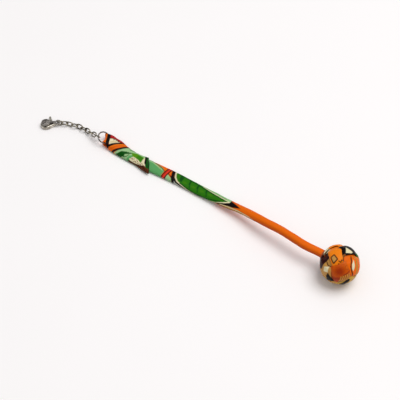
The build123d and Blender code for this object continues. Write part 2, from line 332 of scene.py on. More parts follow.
def wood_material():
    """Turned pale wood of the bead."""
    shader = Shader("turned_wood", Roughness=0.6)
    rings = shader.node("TexWave", wave_type="RINGS")
    rings.inputs["Scale"].default_value = 180
    rings.inputs["Distortion"].default_value = 3.0
    shader.link(shader.node("TexCoord").outputs["Object"], rings.inputs["Vector"])
    colour = shader.ramp(rings.outputs["Fac"], (0.2, srgb(150, 112, 70)), (0.8, srgb(206, 170, 120)))
    shader.link(colour, shader.principled.inputs["Base Color"])
    shader.bump(rings.outputs["Fac"], 0.2, 0.0001)
    return shader.material


def wadding_material():
    """Soft off-white wadding."""
    shader = Shader("wadding", Roughness=0.95, Sheen_Weight=0.4)
    tufts = shader.noise(900, 5.0)
    colour = shader.ramp(tufts, (0.3, srgb(206, 200, 186)), (0.7, srgb(244, 240, 230)))
    shader.link(colour, shader.principled.inputs["Base Color"])
    shader.bump(tufts, 0.6, 0.0002)
    return shader.material


strap_silk = silk_material("printed_silk", 0.5)
ball_silk = silk_material("ball_silk", 0.42)
orange_thread = thread_material("orange_thread", srgb(196, 84, 16))
brown_thread = thread_material("brown_thread", srgb(96, 60, 30))
ring_metal = metal_material("ring_metal", srgb(134, 128, 122), srgb(56, 50, 46), 0.2)
chain_metal = metal_material("chain_metal", srgb(172, 164, 146), srgb(62, 56, 46), 0.18)
clasp_metal = metal_material("clasp_metal", srgb(206, 200, 188), srgb(124, 116, 104), 0.22)
spring_metal = metal_material("spring_metal", srgb(160, 160, 158), srgb(90, 90, 88), 0.3)
tag_metal = metal_material("tag_metal", srgb(176, 170, 164), srgb(92, 86, 82), 0.3, 0.4)

# ---- Outline of the CAD strap ----------------------------------------------------------------


class Outline:
    """Middle, half width, bottom and top of a CAD node, cut square to X."""

    def __init__(self, node):
        mesh = nodes[node].data
        self.points = np.array([vertex.co for vertex in mesh.vertices]) / MM
        self.edges = np.array([edge.vertices for edge in mesh.edges])
        self.low = self.points[:, 0].min()
        self.high = self.points[:, 0].max()

    def at(self, x):
        starts = self.points[self.edges[:, 0]]
        ends = self.points[self.edges[:, 1]]
        crosses = (starts[:, 0] <= x) != (ends[:, 0] <= x)
        starts = starts[crosses]
        ends = ends[crosses]
        share = (x - starts[:, 0]) / (ends[:, 0] - starts[:, 0])
        cut = starts + (ends - starts) * share[:, None]
        low = cut.min(0)
        high = cut.max(0)
        return (low[1] + high[1]) / 2, (high[1] - low[1]) / 2, low[2], high[2]


sleeve_outline = Outline("strap_sleeve")
# From here on, towards the ball, the flat strap turns into the round neck
lying_end = 10.0


def oval(x, angles, margin=0.0):
    """Points of the strap's oval at x; angle 0 is the top and 90 the rear edge, in degrees."""
    middle, half_width, low, high = sleeve_outline.at(x)
    square = 2.0 + 0.45 * smooth((lying_end + 20 - x) / 40)
    half_height = (high - low) / 2
    turn = np.radians(angles)
    across = np.sign(np.sin(turn)) * np.abs(np.sin(turn)) ** (2 / square)
    upward = np.sign(np.cos(turn)) * np.abs(np.cos(turn)) ** (2 / square)
    y = middle + (half_width + margin) * across
    z = (low + high) / 2 + (half_height + margin) * upward
    return np.stack([np.full(len(turn), x), y, z], axis=1)


def arc_from_top(section):
    """Length along a section from its first point, which is the top."""
    steps = np.hypot(*np.diff(section[:, 1:], axis=0).T)
    return np.concatenate([[0], np.cumsum(steps)])


# ---- Strap -----------------------------------------------------------------------------------


def print_strap(dye_and_shade):
    """The leaf, bars and orange ground printed on the strap, with a painted highlight on the leaf's top,
    as (x, arc from the top line).
    """
    dye_and_shade.area(SAGE, (-75, 5), (-30.5, 5), (-25.6, -0.4), (-25.6, -12), (-75, -12))
    dye_and_shade.area(
        PALE_GREEN, (-75, 2.6), (-36, 3.3), (-27.7, 0.9), (-26, -0.6), (-27, -0.4), (-36, 2.4), (-75, 1.6)
    )
    dye_and_shade.area(ORANGE, (-36.2, 4.4), (-31.2, 3.0), (-24.7, 0.2), (-24.2, 12), (-36.2, 12))
    dye_and_shade.line(BLACK, 0.45, (-38.7, 4.3), (-36.2, 4.0), (-32.4, 2.8), (-28.2, 1.2), (-25.4, -0.2))
    dye_and_shade.line(TAN, 0.35, (-35.5, 3.0), (-32.2, 2.2), (-28.8, 0.7))
    dye_and_shade.area(PALE_GREEN, (-23.4, -10), (-22.5, -1.2), (-18.2, -3.2), (-17.2, -10))
    dye_and_shade.area(ORANGE, (-22.8, 10), (-22.7, -0.4), (-19.2, -2.0), (-17.5, 10))
    dye_and_shade.line(BLACK, 0.5, (-22.8, -0.5), (-20.4, -1.4), (-18.2, -3.0))
    red_bar = ((-24.6, -9), (-23.9, -3.6), (-23.4, 2.8), (-23.6, 9))
    dye_and_shade.line(BLACK, 3.1, *red_bar)
    dye_and_shade.line(RED, 1.7, *red_bar)
    dye_and_shade.line(srgb(236, 84, 60), 0.25, (-24.5, -9), (-23.7, -3.6), (-23.2, 2.8), (-23.4, 9))
    leaf = (
        (-19.8, 9), (-19.0, 2.4), (-17.2, -1.0), (-14.5, -3.1), (-8.2, -4.6), (-1.5, -5.8), (4.3, -6.3),
        (10.0, -6.0), (15.0, -4.6), (20.0, -2.6), (25.5, -0.9), (24.3, 0.6), (22, 9),
    )
    dye_and_shade.area(ORANGE, (14, -12), (21, -2.4), (31, -0.8), (27, 12), (110, 12), (110, -12))
    dye_and_shade.area(
        PALE_GREY, (-17.6, -2.2), (-8, -4), (12, -4), (15, -6), (15, -14), (-22, -14), (-17.2, -4.4)
    )
    dye_and_shade.line(BLACK, 1.9, (-21.2, 9), (-20.6, 2.8), (-18.9, -1.0), (-17.0, -4.0), (-16.6, -6.0))
    dye_and_shade.area(BLACK, *leaf, outline=BLACK, width=0.5)
    dye_and_shade.line(BLACK, 0.9, (-17.4, -2.0), (-15.0, -3.7), (-12.0, -4.5), (-7.5, -5.2))
    dye_and_shade.area(CREAM, *leaf)
    inner = (
        (-18.7, 9), (-18.2, 2.4), (-16.4, -0.6), (-14.0, -2.5), (-8, -4.1), (-1.5, -5.4), (4.3, -5.9),
        (10.0, -5.6), (15.0, -4.1), (20.0, -1.9), (23, -0.4), (22, 9),
    )
    dye_and_shade.area(LEAF_GREEN, *inner)
    dye_and_shade.area(DARK_GREEN, (-15.0, 2.6), (-13.6, -1.2), (-11.6, -2.2), (-12.0, 2.2))
    for patch_x in (-9.5, -3.0, 3.5, 10.0):
        across_patch = (dye_and_shade.points[:, 0] - patch_x) / 3.2
        along_patch = (dye_and_shade.points[:, 1] + 1.2) / 1.6
        dye_and_shade.cover(0.5 - np.hypot(across_patch, along_patch), OLIVE_SHADE)
    for vein_x in (-6.5, -0.5, 6.2):
        dye_and_shade.line(DARK_GREEN, 1.1, (vein_x - 0.6, 2.4), (vein_x + 0.2, -0.6))
        dye_and_shade.line(DARK_GREEN, 0.6, (vein_x + 0.2, -0.6), (vein_x + 1.8, -3.2))
    dye_and_shade.line(DARK_GREEN, 1.1, (-17, 3.4), (-8, 2.9), (2, 1.9), (10, 0.6), (21, -0.4))
    dye_and_shade.line(DARK_GREEN, 0.7, (-12, -3.0), (-1.5, -4.5), (8, -4.6), (18, -2.3))
    # Painted highlight: pale green over the leaf's top and rear side, which face the light
    dye_and_shade.area(PALE_GREEN, (-20, 12), (-17, 4.2), (2, 2.9), (11, 1.2), (22, 0.1), (24.8, 0.2), (22, 12))
    dye_and_shade.line(LEAF_GREEN, 0.35, (-16, 4.8), (2, 3.6), (12, 2.0), (21, 0.9))
    dye_and_shade.line(CREAM, 0.4, (2, 2.8), (11.5, 1.0), (24.5, -0.2))
    dye_and_shade.area(
        BLACK, (13.0, -5.3), (17, -3.6), (21, -2.3), (24.3, -0.6), (24.6, 1.4), (27, 0.6), (33.0, -1.2),
        (26, -3.0), (20, -4.0)
    )
    dye_and_shade.area(BLACK, (24.2, 1.8), (25.6, 5), (23, 12), (20.5, 12), (22.6, 4))
    dye_and_shade.area(
        TAN, (17, -4.5), (19.6, -3.6), (25, -2.7), (32, -2.6), (40, -3.4), (46, -4.6), (34, -5.6),
        (24, -5.2)
    )
    dye_and_shade.line(CREAM, 0.4, (18.6, -3.9), (24.5, -3.3), (32, -3.2), (41, -3.8))
    dye_and_shade.line(BROWN, 0.9, (17, -5.0), (26, -5.2), (38, -5.0), (50, -4.9))


def build_strap():
    """The padded strap from the fold to the ball, with a slip-stitched seam underneath."""
    ring_size = 72
    step = 0.3
    stations = np.arange(sleeve_outline.low + 0.02, sleeve_outline.high - 0.02, step)
    angles = np.arange(ring_size) * 360 / ring_size
    points = []
    flat = []
    for x in stations:
        section = oval(x, angles)
        arc = arc_from_top(section)
        around = arc[-1] + arc[1]
        signed = np.where(angles <= 180, arc, arc - around)
        middle = section.mean(0)
        roundness = smooth((x - lying_end) / 40)
        for index, point in enumerate(section):
            outward = Vector(point - middle).normalized()
            crease = 0.10 * grain((x * 0.35, signed[index] * 1.4, 0), 1.6, 3.0)
            swell = 0.12 * grain((x, signed[index], 0), 7.0, 8.0)
            drag = 0.05 * grain((x * 0.9 - signed[index] * 2, signed[index], 4.0), 2.4, 5.0)
            seam = -0.22 * np.exp(-(((angles[index] - 180) / 6) ** 2)) * roundness
            height = (crease + swell) * (0.5 + 0.5 * roundness) + drag + seam - 0.05
            moved = Vector(point) + outward * height
            moved.z = max(moved.z, 0.02)
            points.append(moved)
        flat.extend(np.stack([np.full(ring_size, x), signed], axis=1))
    count = len(stations)
    faces = ring_faces(count, ring_size)
    faces.append(tuple(reversed(range(ring_size))))
    faces.append(tuple(range((count - 1) * ring_size, count * ring_size)))
    flat = np.array(flat)
    dye_and_shade = DyeAndShade(flat, NECK_ORANGE, 0.22)
    print_strap(dye_and_shade)
    # Painted shade: the round neck is left brighter along its top and darkened towards red-brown along
    # its underside, where less light falls
    arc = flat[:, 1]
    neck = smooth((flat[:, 0] - 34) / 20)[:, None]
    neck_underside_shade = smooth((-arc - 1.2) / 2.6)[:, None]
    dye_and_shade.colours = dye_and_shade.colours * (1 - 0.5 * neck * neck_underside_shade) + np.array(RED_BROWN) * 0.5 * neck * neck_underside_shade
    strap = new_piece("printed_strap", points, faces, strap_silk, "strap")
    add_cloth_data(strap, dye_and_shade.colours, flat)
    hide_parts("strap_sleeve")


# ---- Fold-over end ---------------------------------------------------------------------------

swing = joints["end_ring_swing"]
fold_center = Vector(swing["pos_m"]) / MM
nose_radius = fold_center.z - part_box("fold_over_end")[0].z / MM - 0.45
nose_inner_radius = 1.88
nose_front_width = 3.0
nose_rear_width = 4.0
nose_slant = 0.8
# The silk bulges at the rear near the nose, and the tail's point droops over the front edge
bulge_rise = 0.8
bulge_middle = -65.5
bulge_reach = 7
droop_fall = 1.2
droop_start = -46
droop_reach = 11
tail_section_end = -36.5
fold_outline = Outline("fold_over_end")
fold_sleeve_end = sleeve_outline.low
tail_skirt_angle = 101


def tail_ends(sides):
    """X of the tail's slanted, pointed end for each place across, from the CAD solid."""
    points = fold_outline.points
    front = points[points[:, 0].argmax()]
    rear = points[points[:, 1].argmax()]
    upper_edge = points[points[:, 1] > rear[1] - 1.2]
    rear = upper_edge[upper_edge[:, 0].argmax()]
    share = (sides - front[1]) / (rear[1] - front[1])
    return front[0] + (rear[0] - front[0]) * share


def build_fold_over():
    """The strap's end turned back round the ring, with its slanted tail on the strap."""
    columns = 45
    share = np.linspace(-1, 1, columns)
    # The two layers close on each other only near the edges
    edge = (1 - np.abs(share) ** 10) ** 0.5
    angles = share * tail_skirt_angle

    def rounded(outer, inner):
        middle = (outer + inner) / 2
        return np.concatenate([
            middle + (outer - middle) * edge[:, None],
            (middle + (inner - middle) * edge[:, None])[::-1],
        ])

    def tail_row(xs):
        outer = []
        inner = []
        for x, angle in zip(xs, angles):
            middle, half_width, _, high = fold_outline.at(min(x, tail_section_end))
            under = oval(x, np.array([angle]), 0.06)[0]
            turn = radians(angle)
            side = sin(turn)
            base = oval(x, np.array([90.0]))[0][2]
            rise = (high - base if cos(turn) > 0 else base - 0.9) * cos(turn)
            bulge = bulge_rise * max(side, 0.0) * max(1 - ((x - bulge_middle) / bulge_reach) ** 2, 0.0)
            droop = droop_fall * max(-side, 0.0) * float(smooth((x - droop_start) / droop_reach))
            shift = bulge - droop
            across = half_width * np.sign(angle) * abs(side) ** 0.85
            outer.append((x, middle + across + shift, base + rise))
            inner.append((under[0], under[1] + shift, under[2]))
        return np.array(outer), np.array(inner)

    # The nose lies further out towards its rear edge
    offset = np.where(share > 0, nose_rear_width, nose_front_width) * share
    nose_y = fold_center.y + offset
    nose_x = fold_center.x - nose_slant * np.maximum(offset, 0)

    def nose_row(turn):
        rows = []
        for radius in (nose_radius, nose_inner_radius):
            rows.append(np.stack([
                nose_x - radius * sin(turn),
                nose_y,
                np.full(columns, fold_center.z + radius * cos(turn)),
            ], axis=1))
        return rows

    rows = []
    travel = []
    start = np.full(columns, fold_sleeve_end)
    sides = tail_row(start)[0][:, 1]
    ends = tail_ends(sides)
    tail_rows = 110
    for row_share in np.linspace(1, 0, tail_rows):
        xs = start + (ends - start) * row_share
        rows.append(rounded(*tail_row(xs)))
        travel.append(xs)
    top_join = rows[-1]
    nose_top = rounded(*nose_row(0.0))
    top_steps = 16
    for row_share in np.linspace(0, 1, top_steps + 1)[1:]:
        blend = np.array([row_share, row_share**3, smooth(row_share)])
        rows.append(top_join * (1 - blend) + nose_top * blend)
        travel.append(start * (1 - row_share) + nose_x * row_share)
    nose_steps = 32
    for turn in np.linspace(0, pi, nose_steps + 1)[1:]:
        rows.append(rounded(*nose_row(turn)))
        travel.append(nose_x - nose_radius * turn)
    nose_bottom = rows[-1]
    under = oval(fold_sleeve_end + 0.1, -angles + 180)
    over = oval(fold_sleeve_end + 0.1, angles * 90 / tail_skirt_angle)
    sleeve_end = rounded(under, over)
    under_steps = 14
    for row_share in np.linspace(0, 1, under_steps + 1)[1:]:
        blend = np.array([row_share, row_share, smooth(row_share)])
        rows.append(nose_bottom * (1 - blend) + sleeve_end * blend)
        travel.append(nose_x - nose_radius * pi + (fold_sleeve_end - fold_center.x) * row_share)

    ring_size = 2 * columns
    points = np.concatenate(rows)
    points[:, 2] = np.maximum(points[:, 2], 0.03)
    for index, point in enumerate(points):
        lift = 0.10 * grain(point, 4.5, 2.0) + 0.04 * grain(point, 1.3, 6.0)
        points[index][2] += lift if point[2] > 1.5 else 0
    faces = ring_faces(len(rows), ring_size)
    last = (len(rows) - 1) * ring_size
    for column in range(columns - 1):
        across = ring_size - 1 - column
        faces.append((column + 1, column, across, across - 1))
        faces.append((last + column, last + column + 1, last + across - 1, last + across))
    flat = []
    for row, xs in zip(rows, travel):
        outer = row[:columns]
        steps = np.hypot(*np.diff(outer[:, 1:], axis=0).T)
        arc = np.concatenate([[0], np.cumsum(steps)])
        arc -= arc[columns // 2]
        flat.extend(zip(xs, arc))
        flat.extend(zip(xs[::-1], arc[::-1]))
    flat = np.array(flat)
    dye_and_shade = DyeAndShade(flat, ORANGE, 0.22)
    print_fold(dye_and_shade)
    fold = new_piece("turned_back_end", points, faces, strap_silk, "strap")
    add_cloth_data(fold, dye_and_shade.colours, flat)
    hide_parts("fold_over_end")


def print_fold(dye_and_shade):
    """The triangles, leaf and speckles printed on the turned-back end."""
    dye_and_shade.area(SAGE, (-55, 12), (-55, -12), (-20, -12), (-20, 12))
    dye_and_shade.area(
        CRIMSON, (-72.4, 9), (-72.0, 3.0), (-70.2, 1.2), (-67.6, 2.4), (-63.0, 3.2), (-60, 4.2), (-60, 9)
    )
    dye_and_shade.area(CREAM, (-69.8, 0.9), (-67.4, 2.2), (-62.2, 2.2), (-67.4, -3.0))
    dye_and_shade.line(BLACK, 2.1, (-72.9, 4.8), (-70.6, 1.0), (-67.6, -5.8))
    dye_and_shade.line(BLACK, 1.5, (-67.9, -4.7), (-61.4, 2.5), (-58.5, 4.4))
    dye_and_shade.line(MAROON, 0.6, (-70.0, 1.2), (-67.2, 2.5), (-63.4, 2.7), (-60.5, 3.5), (-56, 5.2))
    dye_and_shade.dot(BROWN, 0.5, (-66.9, 1.6), (-65.4, 2.3), (-63.9, 2.2), (-66.0, 2.9))
    dye_and_shade.line(TAN, 0.4, (-67.6, -1.4), (-64.4, 1.4))
    dye_and_shade.area(
        ORANGE, (-67.4, -7), (-66.6, -4.9), (-65.2, -2.8), (-60.6, 2.8), (-58.2, 5.5), (-54.6, 5.0),
        (-58.9, -0.8), (-62.6, -5.1), (-63.4, -7)
    )
    dye_and_shade.line(DEEP_ORANGE, 0.45, (-65.0, -5.0), (-62.2, -1.2), (-57.4, 3.8))
    dye_and_shade.line(BRIGHT_ORANGE, 0.4, (-65.8, -4.2), (-63.2, -0.6), (-58.6, 4.2))
    dye_and_shade.area(
        PALE_GREEN, (-62.2, -6.5), (-58.9, -1.4), (-56.2, 2.4), (-54.6, 7), (-41, 7), (-41, 1),
        (-50, -0.5), (-56, -6.5)
    )
    dye_and_shade.line(BLACK, 1.4, (-63.4, -6.6), (-62.6, -5.2), (-59.3, -1.1), (-56.4, 3.0), (-54.6, 7))
    dye_and_shade.line(DARK_GREEN, 0.8, (-54.0, 2.6), (-48, 4.4), (-42, 4.6))
    dye_and_shade.area(
        DARK_GREEN, (-61.0, -6.6), (-59.6, -5.1), (-57.6, -2.0), (-54.4, -0.3), (-50.7, 1.1),
        (-51.4, -2.0), (-55.2, -4.8), (-56.5, -6.6)
    )
    dye_and_shade.area(
        PALE_GREEN, (-55.9, -5.6), (-54.2, -3.9), (-54.5, -2.6), (-53.2, -1.6), (-50.4, 0.6),
        (-51.9, -3.5), (-51.9, -5.2)
    )
    dye_and_shade.line(DARK_GREEN, 0.5, (-54.6, -4.6), (-52.6, -3.0), (-51.8, -1.2))
    dye_and_shade.area(OLIVE, (-51.6, 1.0), (-47.9, 2.6), (-41.9, 1.6), (-40.4, -1.4), (-42.7, -2.4), (-48.9, -1.3))
    dye_and_shade.area(srgb(56, 128, 10), (-46.5, 1.8), (-42.5, 1.2), (-40.8, -0.8), (-42.6, -1.9), (-46.8, -0.6))
    dye_and_shade.area(
        CREAM, (-50.2, -3.6), (-48.6, -0.9), (-44.6, -1.4), (-41.6, -2.6), (-42.2, 1.6), (-39.4, 1.4),
        (-37.2, -3.4), (-35.9, -4.6), (-47.4, -5.0)
    )
    mottles = (
        ((-49.4, -2.7), (-48.2, -2.2), (-47.9, -3.3)), ((-47.4, -1.7), (-46.9, -2.7)),
        ((-46.6, -3.7), (-45.6, -2.9), (-44.9, -3.7)), ((-45.0, -2.1), (-43.9, -2.7)),
        ((-43.6, -3.9), (-42.7, -3.0)), ((-42.4, -4.2), (-41.4, -3.4), (-40.7, -4.1)),
        ((-40.9, -2.8), (-40.0, -3.1)), ((-39.8, -4.3), (-38.8, -3.7)),
    )
    for number, mottle in enumerate(mottles):
        dye_and_shade.line(BROWN if number % 2 else srgb(112, 76, 36), 0.42, *mottle)
    dye_and_shade.dot(BROWN, 0.2, (-48.6, -1.4), (-46.0, -1.6), (-43.0, -2.1), (-44.2, -3.3), (-41.9, -2.6))
    dye_and_shade.area(
        BROWN, (-51.5, -9), (-50.4, -4.4), (-46, -4.4), (-40.4, -4.1), (-37.2, -2.6), (-33.5, -1.4),
        (-30, -9)
    )
    dye_and_shade.line(BLACK, 0.5, (-50.0, -4.5), (-44, -4.7), (-38.6, -4.6), (-35.5, -5.2))
    dye_and_shade.area(
        DARK_GREEN, (-42.4, 7), (-40.2, 1.6), (-38.1, -1.9), (-36.4, -2.4), (-33.8, -1.6), (-30, 0),
        (-34, 7)
    )
    dye_and_shade.line(BLACK, 1.8, (-42.8, 6.0), (-40.6, 1.8), (-38.9, -1.0))


# ---- Thread ----------------------------------------------------------------------------------


def twisted_thread(path, radius, twists):
    """Rings of a two-ply thread along a path of points, as points and faces."""
    ring_size = 12
    points = []
    for index, centre in enumerate(path):
        ahead = Vector(path[min(index + 1, len(path) - 1)])
        behind = Vector(path[max(index - 1, 0)])
        along = (ahead - behind).normalized()
        side = along.cross(Vector((0.2, 0.1, 1.0))).normalized()
        other = along.cross(side)
        ply_turn = index / (len(path) - 1) * twists * 2 * pi
        for step in range(ring_size):
            turn = step / ring_size * 2 * pi
            lobe = radius * (0.84 + 0.16 * cos(2 * (turn - ply_turn)))
            points.append(Vector(centre) + side * lobe * cos(turn) + other * lobe * sin(turn))
    faces = ring_faces(len(path), ring_size)
    faces.append(tuple(reversed(range(ring_size))))
    faces.append(tuple(range((len(path) - 1) * ring_size, len(path) * ring_size)))
    return points, faces


def join_shapes(shapes):
    """Several (points, faces) as one."""
    points = []
    faces = []
    for shape_points, shape_faces in shapes:
        start = len(points)
        points.extend(shape_points)
        faces.extend(tuple(index + start for index in face) for face in shape_faces)
    return points, faces


def islands(node):
    """Point sets of a node's separate lumps, in millimetres."""
    mesh = nodes[node].data
    places = [tuple(round(c / MM, 3) for c in vertex.co) for vertex in mesh.vertices]
    leader = {place: place for place in places}

    def find(place):
        while leader[place] != place:
            leader[place] = leader[leader[place]]
            place = leader[place]
        return place

    for edge in mesh.edges:
        leader[find(places[edge.vertices[0]])] = find(places[edge.vertices[1]])
    groups = {}
    for place in sorted(leader):
        groups.setdefault(find(place), []).append(place)
    return [np.array(groups[key]) for key in sorted(groups)]


def build_stitches():
    """Slip stitches that hold the tail down, each a short bowed length of thread."""
    shapes = []
    for lump in islands("seam_stitches"):
        middle = lump.mean(0)
        spread = np.linalg.svd(lump - middle, full_matrices=False)[2][0]
        half = np.abs((lump - middle) @ spread).max() - 0.05
        outward = Vector((0, -1 if middle[1] < 1.5 else 1, 0.3)).normalized()
        path = []
        for share in np.linspace(-1, 1, 17):
            bow = 0.12 * (1 - share**2) - 0.10 * share**6
            path.append(Vector(middle) + Vector(spread) * half * share + outward * (bow - 0.02))
        shapes.append(twisted_thread(path, 0.15, 2.5))
    stitches = new_piece("tail_stitches", *join_shapes(shapes), brown_thread, "strap")
    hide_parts("seam_stitches")


def build_whipping():
    """Thread wound round the neck where it enters the ball."""
    low, high = (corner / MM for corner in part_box("neck_whipping"))
    centre_y = (low.y + high.y) / 2
    centre_z = (low.z + high.z) / 2
    wire = 0.2
    sink = 0.3
    radius = (high.y - low.y) / 2 - wire - sink
    turns = 3
    steps = 48 * turns
    path = []
    for index in range(steps + 1):
        share = index / steps
        turn = share * turns * 2 * pi
        x = low.x + wire + (high.x - low.x - 2 * wire) * share
        path.append((x, centre_y + radius * cos(turn), centre_z + radius * sin(turn)))
    whipping = new_piece("neck_thread", *twisted_thread(path, wire, 46), orange_thread, "strap")
    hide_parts("neck_whipping")


# ---- Ball ------------------------------------------------------------------------------------

# The weave's own axes: the crossings lie on a cube's edges, the gaps on its corners and faces
ball_x = Vector((0.432, -0.158, 0.888)).normalized()
ball_y = Vector((0.284, -0.932, -0.219))
ball_y = (ball_y - ball_x * ball_y.dot(ball_x)).normalized()
ball_z = ball_x.cross(ball_y)
band_low, band_high = (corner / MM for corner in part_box("ball_band_4"))
ball_center = (band_low + band_high) / 2
floor_gap = 0.35
ball_radius = ball_center.z - floor_gap
mean_half_width = 31.5
band_thickness = 0.5
band_dive = 1.2
band_rise = 0.2
# Change of half width at a crossing: rear, front, and the lean of each along the band, in degrees
drawn_tight = {
    (1, 0, -1): (-20, -3, 7, -12),
    (1, 0, 1): (0, 3, 0, 5),
    (1, -1, 0): (-6, -12, 0, -7),
    (0, -1, -1): (0, -14, 0, 10),
}
# Each band: its axis, then the crossings at which it lies on top
bands = (
    ((1, -1, -1), ((1, 1, 0), (0, -1, 1), (-1, 0, -1))),
    ((1, 1, -1), ((1, 0, 1), (-1, 1, 0), (0, -1, -1))),
    ((1, 1, 1), ((1, -1, 0), (0, 1, -1), (-1, 0, 1))),
    ((1, -1, 1), ((1, 0, -1), (-1, -1, 0), (0, 1, 1))),
)


def weave_vector(numbers):
    """A direction of the weave's cube, in the shared frame."""
    return (ball_x * numbers[0] + ball_y * numbers[1] + ball_z * numbers[2]).normalized()


def band_half_width(turn, side, narrowing):
    """Half width of a band in degrees: it spreads over open gaps and narrows where drawn tight."""
    width = mean_half_width + 5.5 * cos(radians(3 * (turn - side * 30)))
    for middle_turn, rear, front, rear_lean, front_lean in narrowing:
        offset = (turn - middle_turn + 180) % 360 - 180
        change = front + front_lean * offset / 30 if side > 0 else rear + rear_lean * offset / 30
        width += change * float(smooth(1.6 - abs(offset) / 36))
    return width


def over_shape(turn):
    """How far a band has dived at this turn, from 0 on top to 1 underneath."""
    nearest = abs((turn + 60) % 120 - 60)
    return float(smooth((nearest - 19) / 17))


def band_colour(dye_and_shade, crossing):
    """Paints one crossing's print, in degrees along and across the band, with a patch of painted shade on
    crossing (1, 1, 0).
    """
    whole = ((-60, -60), (-60, 60), (60, 60), (60, -60))
    if crossing == (1, 1, 0):
        dye_and_shade.area(DEEP_ORANGE, *whole)
        dye_and_shade.area(srgb(212, 96, 16), (14, 60), (18, 12), (60, 4), (60, 60))
        dye_and_shade.area(srgb(214, 96, 20), (-60, 29), (-10, 33), (60, 24), (60, 60), (-60, 60))
        dye_and_shade.cover((13 - np.hypot(dye_and_shade.points[:, 0] + 2, dye_and_shade.points[:, 1] - 10)) / 10, RED_BROWN)
        shade = ((-34, -6), (-8, -8), (6, -4), (-6, -22), (-30, -30))
        dye_and_shade.cover(depth_inside(dye_and_shade.points, shade) / 5, RED_BROWN)
        dye_and_shade.line(srgb(176, 70, 6), 1.6, (16, 18), (20, 24), (27, 22), (29, 14), (23, 10), (16, 14))
        dye_and_shade.line(srgb(118, 34, 4), 2.6, (8, -4), (20, 1), (34, 7))
        for step in range(8):
            along = -12 + 6.4 * step
            dye_and_shade.line(GOLD, 2.4, (along, -30), (along + 9, -17), (along + 12, -7 + step))
            dye_and_shade.line(BROWN, 1.5, (along + 3.4, -30), (along + 12, -17), (along + 15, -8 + step))
        dye_and_shade.area(BROWN, (-16, -40), (-14, -27), (4, -28), (14, -40))
    elif crossing == (1, 0, -1):
        dye_and_shade.area(BRIGHT_ORANGE, *whole)
        dye_and_shade.area(srgb(226, 128, 60), (-60, -24), (60, -24), (60, -60), (-60, -60))
        dye_and_shade.area(CREAM, (-60, -40), (-36, -40), (-34, -10), (-40, -4), (-60, -4))
        dye_and_shade.area(TAN, (0, 5), (14, 9), (20, -3), (4, -4), outline=MAROON, width=3.2)
        dye_and_shade.line(MAROON, 2.6, (21, 12), (27, 16), (21, 21), (27, 27))
        dye_and_shade.dot(MAROON, 2.4, (30, 8), (31, 22))
        dye_and_shade.line(DEEP_ORANGE, 2.0, (-20, -26), (6, -13), (26, -15))
    elif crossing == (1, -1, 0):
        dye_and_shade.area(BLACK, *whole)
        dye_and_shade.area(CREAM, (9, -7), (-4, 14), (4, 17), (22, 13))
        dye_and_shade.area(srgb(176, 96, 40), (-10, -34), (14, -22), (14, -14), (-12, -24))
        dye_and_shade.area(srgb(150, 84, 24), (25, 14), (50, 10), (50, 40), (25, 40))
    elif crossing == (1, 0, 1):
        dye_and_shade.area(ORANGE, *whole)
        dye_and_shade.area(CREAM, (26, 15), (14, 24), (-1, 25), (-9, 19), (6, 15))
        dye_and_shade.line(BLACK, 3.6, (38, 12), (30, 19), (18, 26), (6, 29), (-8, 25), (-25, 16))
        dye_and_shade.line(srgb(168, 140, 40), 5.0, (34, 0), (10, 6), (-26, 2))
        dye_and_shade.line(BRIGHT_ORANGE, 4.0, (-20, -8), (20, -10))
    elif crossing == (0, 1, -1):
        dye_and_shade.area(TAN, *whole)
        dye_and_shade.area(MAROON, (-60, -60), (-60, -6), (-6, -6), (14, -30), (14, -60))
        dye_and_shade.area(CREAM, (-20, 0), (-30, 14), (-12, 18), (-6, 4))
        dye_and_shade.area(BLACK, (-12, 19), (12, 40), (30, 40), (24, 16), (4, 15))
        dye_and_shade.line(MAROON, 3.0, (-34, -4), (-30, 8), (-34, 20))
        dye_and_shade.line(GOLD, 2.0, (-4, -4), (16, 12))
    elif crossing == (0, 1, 1):
        dye_and_shade.area(GOLD, *whole)
        dye_and_shade.area(BLACK, (-6, -30), (-4, -14), (-22, 14), (-30, 10), (-22, -20))
        dye_and_shade.line(BROWN, 2.0, (0, -26), (4, 0), (-8, 26))
        dye_and_shade.line(CREAM, 1.6, (10, -24), (14, 0), (6, 26))
    elif crossing == (0, -1, -1):
        dye_and_shade.area(BLACK, *whole)
        dye_and_shade.area(BRIGHT_ORANGE, (-60, -60), (-60, 60), (4, 60), (4, -60))
        dye_and_shade.area(CREAM, (4, -10), (4, 60), (24, 60), (24, -10))
    else:
        # The far side repeats the print: orange with a cream leaf in a dark line
        ground = {-2: MAROON, 0: TAN, 2: ORANGE}[sum(crossing)]
        dye_and_shade.area(ground, *whole)
        dye_and_shade.area(CREAM, (-22, -6), (-2, 6), (20, 4), (2, -10), outline=BLACK, width=3.0)
        dye_and_shade.area(LEAF_GREEN, (-60, 16), (-10, 20), (10, 40), (-60, 60), outline=BLACK, width=2.4)
        dye_and_shade.line(GOLD, 2.2, (6, -26), (30, -16))


